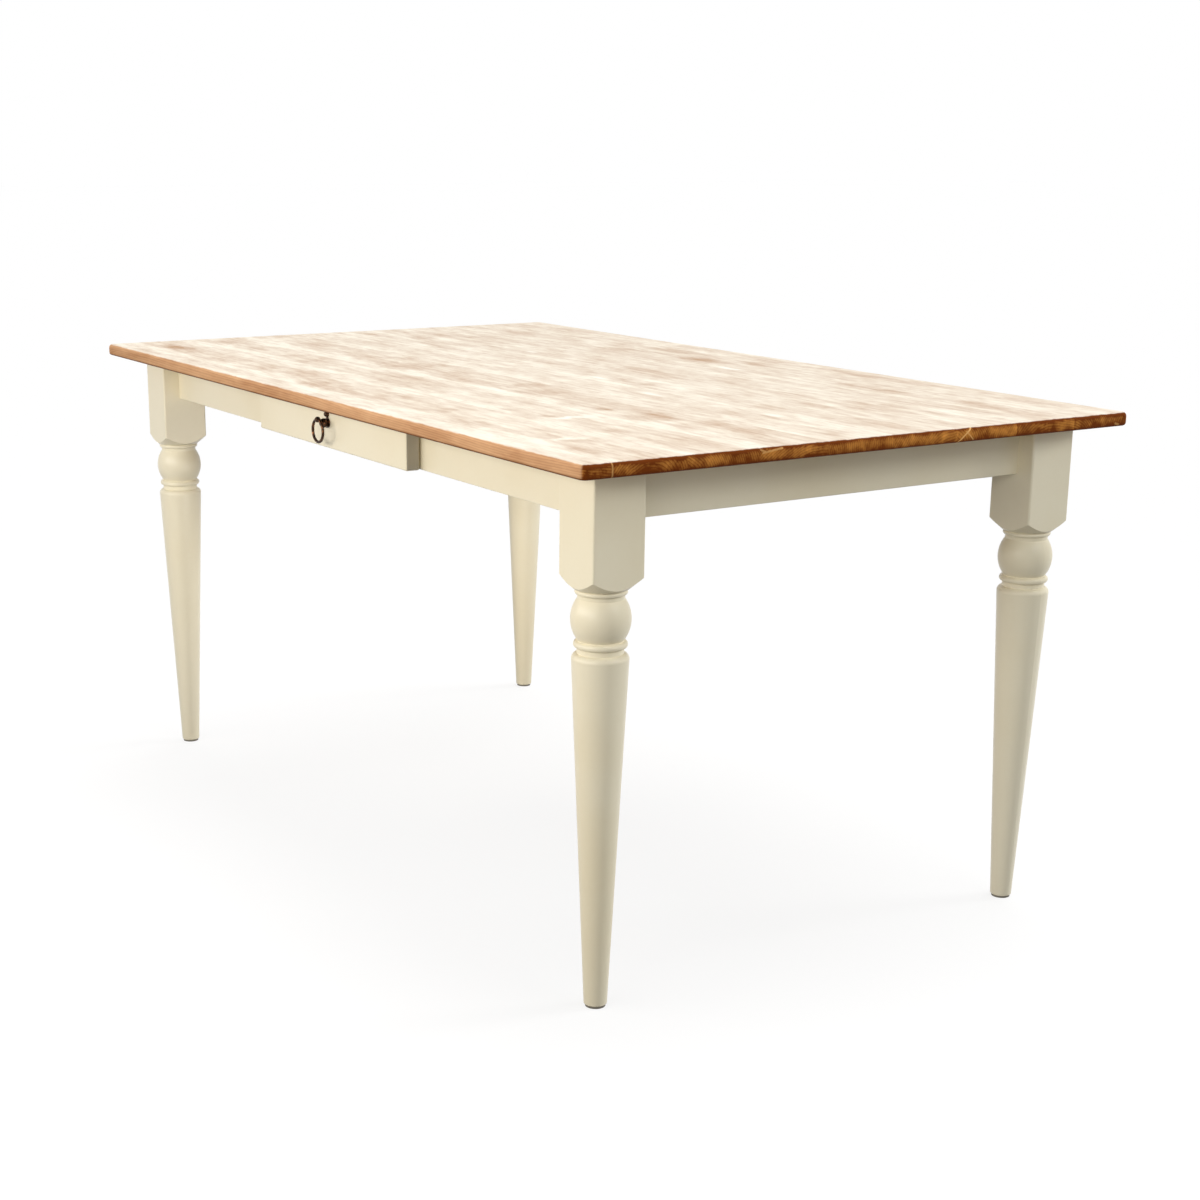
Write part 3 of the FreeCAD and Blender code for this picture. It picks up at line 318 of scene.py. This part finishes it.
def top_board(name, board, seed):
    """Pine for one board of the top, with a pale wash and painted sheen on its upper face."""
    low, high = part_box(name)
    middle, half = (low.y + high.y) / 2, (high.y - low.y) / 2
    shade = Shade(f"pine_{name}")
    pith = (middle + board.pith[0], high.z + board.pith[1])
    grain = pine_grain(shade, shade.point, pith, board.climb, seed, board.marks)
    x, y, z = shade.parts(shade.point)
    wash_and_sheen = wash_and_sheen_face(shade, board, grain, shade.math("SUBTRACT", y, middle), half)

    facing = shade.parts(shade.normal)
    upright = shade.math("ABSOLUTE", facing[2])
    level = shade.math("SQRT", shade.math("SUBTRACT", 1.0, shade.math("MULTIPLY", facing[2], facing[2])))
    dark = shade.math("MULTIPLY", grain.streak, EDGE_STREAK)
    dark = shade.math("MULTIPLY_ADD", grain.late, EDGE_LATE, dark)
    dark = shade.vary(dark, grain.fibre, EDGE_FIBRE)
    edge = shade.mix(shade.vary(dark, grain.blotch, EDGE_BLOTCH), EDGE_PALE, EDGE_DARK)
    # Painted shade where the edge rounds under and faces down
    edge = shade.mix(shade.step(facing[2], *SHADED_LOWER_FACING), edge, EDGE_PAINTED_SHADE)
    # Painted shade on the lower part of the ends
    painted_low_shade = shade.step(z, high.z - (high.z - low.z) * SHADE_LOW_SHARE, low.z, 0.0, SHADE_LOW_DEPTH)
    end = end_face(shade, name, board, grain, dark, shade.math("MAXIMUM", upright, painted_low_shade), x)
    under = shade.mix(dark, UNDER_PALE, UNDER_DARK)

    level = shade.math("MAXIMUM", level, LEAST_LEVEL)
    turned = shade.math("DIVIDE", shade.math("ABSOLUTE", facing[0]), level)
    paint = shade.mix(shade.step(turned, *END_FACING), edge, end)
    paint = shade.mix(shade.step(facing[2], *UNDER_FACING), paint, under)
    # Upward faces take the pale wash with its painted sheen.
    upper_wash_and_sheen = shade.step(shade.vary(facing[2], grain.fleck, WASH_AND_SHEEN_RAGGED), *UPPER_FACING)
    paint = shade.mix(upper_wash_and_sheen, paint, wash_and_sheen)
    height = shade.math("MULTIPLY", grain.late, LATE_HEIGHT)
    height = shade.math("MULTIPLY_ADD", grain.fibre, FIBRE_HEIGHT, height)
    return shade.finish({
        "Base Color": paint,
        "Roughness": shade.step(grain.streak, *STREAK_ENDS, *TOP_ROUGHNESS),
        "Specular IOR Level": shade.step(facing[2], *SHEEN_FACING, *TOP_SPECULAR),
        "Normal": shade.bump(height, GRAIN_DEPTH, GRAIN_BUMP),
    })


# Painted base: cream satin paint with faint brush marks

CREAM, CREAM_THIN = colour(241, 233, 208), colour(234, 223, 193)
CREAM_PAINTED_SHADE = colour(170, 163, 146)      # painted shade: the darker colour of the drawer front's ends, which stand in shade
CLOUD_COUNT, PAINT_FLECK_COUNT, PEEL_COUNT = (4, 4, 4), (140, 140, 140), (420, 420, 420)
BRUSH_COUNT = (60, 60, 260)
PAINT_FLECK = 0.25
THIN_ENDS, GLOSS_ENDS, PAINT_ROUGHNESS = (0.3, 0.8), (0.2, 0.8), (0.30, 0.40)
SHADED_END_FACING = (0.75, 0.97)           # how far a face looks along X where it takes the painted end shade
BRUSH_HEIGHT, PEEL_HEIGHT = 0.6, 0.4
PAINT_DEPTH, PAINT_BUMP = 0.00012, 0.35


def cream_paint(name, painted_end_shade=None):
    """The paint. With a painted end shade, the ends of the piece show that colour as painted shade."""
    shade = Shade(name)
    cloud = shade.noise(shade.point, CLOUD_COUNT, detail=3.0)
    fleck = shade.noise(shade.point, PAINT_FLECK_COUNT)
    thin = shade.vary(shade.step(cloud, *THIN_ENDS), fleck, PAINT_FLECK)
    paint = shade.mix(thin, CREAM, CREAM_THIN)
    if painted_end_shade is not None:
        # Painted shade on the faces that look along X
        along = shade.math("ABSOLUTE", shade.parts(shade.normal)[0])
        paint = shade.mix(shade.step(along, *SHADED_END_FACING), paint, painted_end_shade)
    peel = shade.noise(shade.point, PEEL_COUNT)
    brush = shade.noise(shade.point, BRUSH_COUNT)
    height = shade.math("MULTIPLY", peel, PEEL_HEIGHT)
    height = shade.math("MULTIPLY_ADD", brush, BRUSH_HEIGHT, height)
    return shade.finish({
        "Base Color": paint,
        "Roughness": shade.step(cloud, *GLOSS_ENDS, *PAINT_ROUGHNESS),
        "Normal": shade.bump(height, PAINT_DEPTH, PAINT_BUMP),
    })


# Inner pieces: planed pine along X or along Y, and plywood

BARE_PALE, BARE_DARK = colour(222, 190, 146), colour(188, 142, 96)
PLY_PALE, PLY_DARK = colour(224, 196, 154), colour(204, 168, 122)
BARE_PITH, BARE_CLIMB = (0.04, 0.60), 0.02     # the pith's Y and Z in metres, and its climb
BARE_LATE, BARE_STREAK, BARE_FIBRE = 0.45, 0.4, 0.3
BARE_ROUGHNESS = 0.62
BARE_DEPTH, BARE_BUMP = 0.0002, 0.4


def bare_pine(name, along_y, pale, dark, seed):
    shade = Shade(name)
    point = shade.point
    if along_y:
        x, y, z = shade.parts(point)
        point = shade.add("ShaderNodeCombineXYZ", {0: y, 1: x, 2: z}).outputs[0]
    grain = pine_grain(shade, point, BARE_PITH, BARE_CLIMB, seed)
    tone = shade.math("MULTIPLY", grain.streak, BARE_STREAK)
    tone = shade.math("MULTIPLY_ADD", grain.late, BARE_LATE, tone)
    tone = shade.vary(tone, grain.fibre, BARE_FIBRE)
    return shade.finish({
        "Base Color": shade.mix(tone, pale, dark),
        "Roughness": BARE_ROUGHNESS,
        "Normal": shade.bump(grain.fibre, BARE_DEPTH, BARE_BUMP),
    })


# Metal and the glides

BRONZE, COPPER = colour(64, 48, 38), colour(176, 118, 78)
STEEL, STEEL_DULL = colour(196, 197, 198), colour(150, 151, 152)
GLIDE, GLIDE_SPECK = colour(112, 106, 96), colour(132, 126, 115)
METAL_COUNT, SPECK_COUNT = (160, 160, 160), (900, 900, 900)
METAL_NOISE = 0.65
WEAR_SPAN = 0.22                           # how much of the noise the change to worn metal takes
SHINE_ENDS = (0.3, 0.7)
DULLER, SHINIER = 0.1, 0.08                # how far the roughness strays
METAL_DEPTH, METAL_BUMP = 0.0003, 0.4
GLIDE_ROUGHNESS = 0.6
GLIDE_DEPTH, GLIDE_BUMP = 0.0001, 0.5


def metal(name, main, worn, worn_from, roughness):
    """Metal that shows its worn colour in blotches."""
    shade = Shade(name)
    blotch = shade.noise(shade.point, METAL_COUNT, detail=4.0, roughness=METAL_NOISE)
    wear = shade.step(blotch, worn_from, worn_from + WEAR_SPAN)
    return shade.finish({
        "Base Color": shade.mix(wear, main, worn),
        "Metallic": 1.0,
        "Roughness": shade.step(blotch, *SHINE_ENDS, roughness + DULLER, roughness - SHINIER),
        "Normal": shade.bump(blotch, METAL_DEPTH, METAL_BUMP),
    })


def glide_plastic():
    shade = Shade("glide_plastic")
    speck = shade.noise(shade.point, SPECK_COUNT)
    return shade.finish({
        "Base Color": shade.mix(speck, GLIDE, GLIDE_SPECK),
        "Roughness": GLIDE_ROUGHNESS,
        "Normal": shade.bump(speck, GLIDE_DEPTH, GLIDE_BUMP),
    })


def dress(name, material):
    for slot in nodes[name].material_slots:
        slot.material = material


finishes = {
    "painted_wood": cream_paint("cream_paint"),
    "plywood": bare_pine("plywood", along_y=False, pale=PLY_PALE, dark=PLY_DARK, seed=7),
    "dark_bronze": metal("dark_bronze", BRONZE, COPPER, worn_from=0.52, roughness=0.38),
    "zinc_steel": metal("zinc_steel", STEEL, STEEL_DULL, worn_from=0.48, roughness=0.36),
    "glide": glide_plastic(),
}
bare_along_x = bare_pine("bare_pine_along_x", along_y=False, pale=BARE_PALE, dark=BARE_DARK, seed=3)
bare_along_y = bare_pine("bare_pine_along_y", along_y=True, pale=BARE_PALE, dark=BARE_DARK, seed=5)
for name, slot in slot_of.items():
    if slot == "bare_wood":
        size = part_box(name)[1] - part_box(name)[0]
        dress(name, bare_along_x if size.x > size.y else bare_along_y)
    elif slot != "top_wood":
        dress(name, finishes[slot])
# The drawer front's ends get painted shade.
dress("drawer_front", cream_paint("drawer_paint_shaded_ends", CREAM_PAINTED_SHADE))
for seed, (name, board) in enumerate(BOARDS.items(), start=1):
    dress(name, top_board(name, board, seed))


# Stage: a pale floor that keeps the table's shadow, a white surround and soft light

FLOOR_HALF = 40.0
FLOOR_BOUNCE = colour(100, 98, 94)     # the floor as the table sees it
FLOOR_SHADED = colour(121, 121, 121)   # how much of the shadow the floor keeps
FLOOR_WHITE = 0.81                     # the floor's own white, as the camera sees it
AMBIENT = 0.36                         # the light of the surround on the table
FAR_PLACE = (0, 0, 2)                  # where far lamps hang, which doesn't change their light
WARM, PLAIN, COOL = (1.0, 0.95, 0.88), (1.0, 1.0, 1.0), (0.94, 0.98, 1.0)


def seen_by_eye(tree):
    """One for rays from the camera, and for those that mirror or pass on what it sees."""
    path = tree.nodes.new("ShaderNodeLightPath")
    total = path.outputs["Is Camera Ray"]
    for kind in ("Is Glossy Ray", "Is Transmission Ray"):
        most = tree.nodes.new("ShaderNodeMath")
        most.operation = "MAXIMUM"
        tree.links.new(total, most.inputs[0])
        tree.links.new(path.outputs[kind], most.inputs[1])
        total = most.outputs[0]
    return total


def make_floor():
    corners = [(-FLOOR_HALF, -FLOOR_HALF, 0), (FLOOR_HALF, -FLOOR_HALF, 0),
               (FLOOR_HALF, FLOOR_HALF, 0), (-FLOOR_HALF, FLOOR_HALF, 0)]
    mesh = bpy.data.meshes.new("floor")
    mesh.from_pydata(corners, [], [(0, 1, 2, 3)])
    floor = bpy.data.objects.new("floor", mesh)
    bpy.context.scene.collection.objects.link(floor)
    shade = Shade("floor_white")
    bounce = shade.add("ShaderNodeBsdfDiffuse", {"Color": FLOOR_BOUNCE})
    shaded = shade.add("ShaderNodeBsdfDiffuse", {"Color": FLOOR_SHADED})
    glow = shade.add("ShaderNodeEmission", {"Color": WHITE, "Strength": FLOOR_WHITE})
    shown = shade.add("ShaderNodeAddShader", {0: shaded.outputs[0], 1: glow.outputs[0]})
    sides = {0: seen_by_eye(shade.tree), 1: bounce.outputs[0], 2: shown.outputs[0]}
    both = shade.add("ShaderNodeMixShader", sides)
    shade.set(shade.tree.nodes["Material Output"].inputs["Surface"], both.outputs[0])
    mesh.materials.append(shade.material)


def make_world():
    world = bpy.data.worlds.new("surround")
    world.use_nodes = True
    tree = world.node_tree
    background = tree.nodes["Background"]
    background.inputs["Color"].default_value = WHITE
    strength = tree.nodes.new("ShaderNodeMix")
    tree.links.new(seen_by_eye(tree), strength.inputs[0])
    strength.inputs[2].default_value = AMBIENT
    strength.inputs[3].default_value = 1.0
    tree.links.new(strength.outputs[0], background.inputs["Strength"])
    bpy.context.scene.world = world


def hang(lamp, place, towards):
    """Hang a lamp at a place. Towards is the way from the table to the lamp, which shines back along it."""
    thing = bpy.data.objects.new(lamp.name, lamp)
    thing.location = place
    thing.rotation_euler = Vector(towards).to_track_quat("Z", "Y").to_euler()
    thing.visible_camera = False
    bpy.context.scene.collection.objects.link(thing)
    return thing


def far_lamp(name, towards, share, spread, tint):
    """A wide soft lamp far off. A white face turned to it shows this share of full white. The lamp has no
    reflection, which would bleach the top where it is seen at a low angle."""
    lamp = bpy.data.lights.new(name, "SUN")
    lamp.energy = share * math.pi
    lamp.angle = math.radians(spread)
    lamp.color = tint
    hang(lamp, FAR_PLACE, towards).visible_glossy = False


def strip_lamp(name, place, aim, width, height, watts, tint, spread=180):
    """A long low lamp near the table, so that its light falls off towards the floor."""
    lamp = bpy.data.lights.new(name, "AREA")
    lamp.shape = "RECTANGLE"
    lamp.size, lamp.size_y = width, height
    lamp.energy = watts
    lamp.spread = math.radians(spread)
    lamp.color = tint
    hang(lamp, place, Vector(place) - Vector(aim))


# Camera, fitted to the photograph's lines. Its place is in metres and its angles are in degrees. Pixels
# count from the upper left of a square picture.

PICTURE = 1200
FOCAL_PIXELS = 1950.84
CENTRE_PIXELS = (550.57, 666.23)
CAMERA_PLACE = (2.7228, -1.7519, 1.1387)
CAMERA_YAW, CAMERA_PITCH, CAMERA_ROLL = 57.302, -15.205, 0.441


def make_camera():
    lens = bpy.data.cameras.new("camera")
    lens.lens = FOCAL_PIXELS / PICTURE * lens.sensor_width
    lens.shift_x = 0.5 - CENTRE_PIXELS[0] / PICTURE
    lens.shift_y = CENTRE_PIXELS[1] / PICTURE - 0.5
    camera = bpy.data.objects.new("camera", lens)
    turn = Matrix.Rotation(math.radians(CAMERA_YAW), 4, "Z")
    tilt = Matrix.Rotation(math.radians(90 + CAMERA_PITCH), 4, "X")
    roll = Matrix.Rotation(math.radians(CAMERA_ROLL), 4, "Z")
    camera.matrix_world = Matrix.Translation(CAMERA_PLACE) @ turn @ tilt @ roll
    bpy.context.scene.collection.objects.link(camera)
    bpy.context.scene.camera = camera


make_floor()
make_world()
strip_lamp("front_lamp", place=(0.35, -1.9, 1.05), aim=(0.2, 0.0, 0.85),
           width=2.8, height=0.5, watts=23, tint=WARM)
strip_lamp("side_lamp", place=(2.3, 0.65, 1.60), aim=(0.75, 0.4, 0.4),
           width=1.4, height=0.5, watts=6.5, tint=COOL)
strip_lamp("under_lamp", place=(0.3, -0.1, 0.40), aim=(-0.7, 0.16, 0.36),
           width=0.6, height=0.3, watts=1.5, tint=WARM, spread=88)
far_lamp("low_lamp", towards=(-0.25, -0.97, 0.03), share=0.14, spread=24, tint=WARM)
far_lamp("fill_lamp", towards=(0.78, -0.63, 0.02), share=0.13, spread=40, tint=PLAIN)
far_lamp("back_lamp", towards=(0.28, 0.92, 0.26), share=0.50, spread=20, tint=PLAIN)
far_lamp("upper_lamp", towards=(-0.10, 0.25, 0.96), share=0.50, spread=40, tint=PLAIN)
make_camera()
bpy.context.scene.view_settings.view_transform = "Standard"
